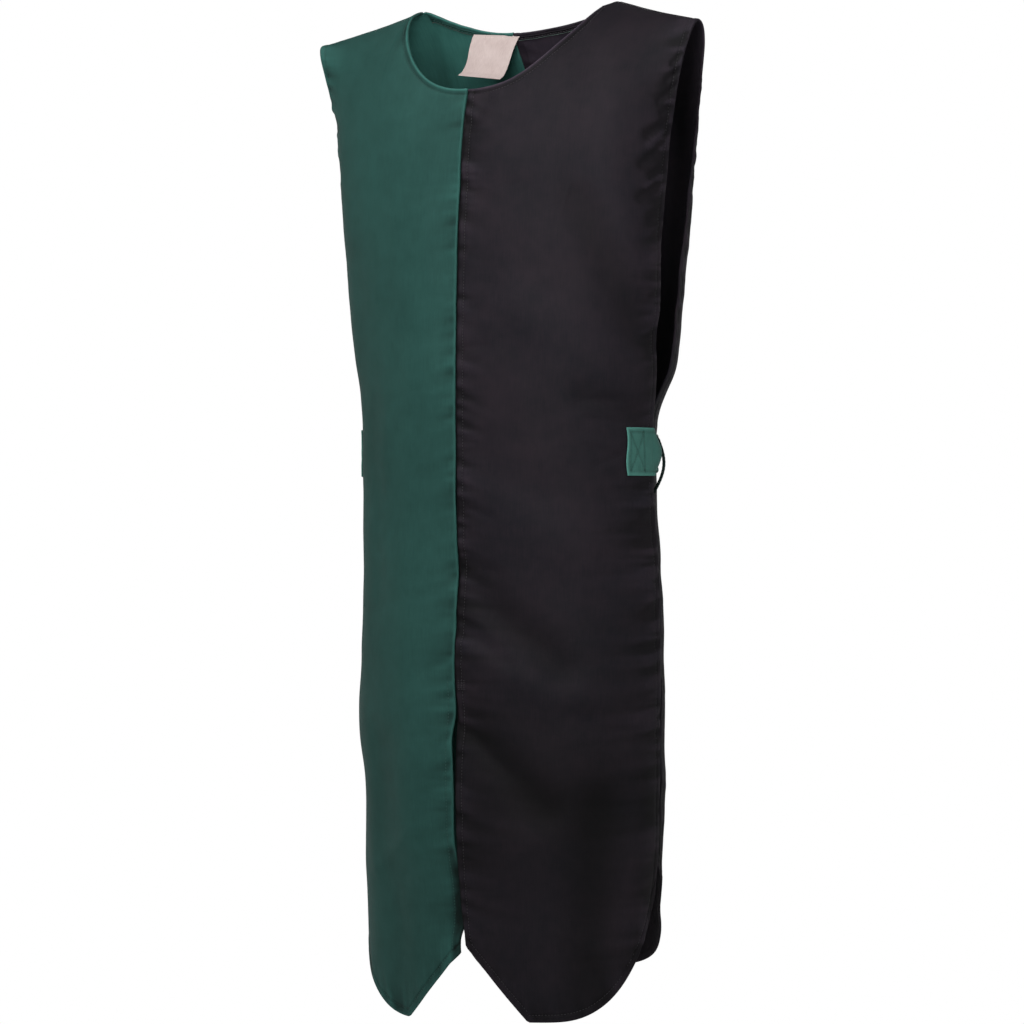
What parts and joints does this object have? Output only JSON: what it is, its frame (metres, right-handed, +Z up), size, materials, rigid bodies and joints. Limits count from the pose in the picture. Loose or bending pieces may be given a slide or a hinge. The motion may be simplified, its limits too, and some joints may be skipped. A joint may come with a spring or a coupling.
{
  "type": "medieval surcoat",
  "caption": "Sleeveless knee-length surcoat in two colours, open at the sides and slit at the centre, with a scooped neck, pointed hem tabs and side straps with belt loops.",
  "frame": {"origin": "midway between the neck ends of the two shoulder seams, where the wearer's shoulders carry the cloth", "axes": "+X to the wearer's left, +Y to the wearer's back, +Z up; the front faces -Y"},
  "size_m": [0.467, 0.2629, 1.0865],
  "materials": {
    "green_cotton": "matt dark green cotton twill",
    "black_cotton": "matt black cotton twill",
    "label_cotton": "plain cream woven cotton, blank",
    "loop_cord": "dark green cord"
  },
  "bodies": {
    "root": {"front_green": "green_cotton", "front_black": "black_cotton", "back_green": "green_cotton", "back_black": "black_cotton", "neck_facing_green": "green_cotton", "neck_facing_black": "black_cotton", "side_strap_left": "green_cotton", "side_strap_right": "green_cotton", "belt_loop_left": "loop_cord", "belt_loop_right": "loop_cord", "neck_label": "label_cotton"}
  },
  "joints": []
}
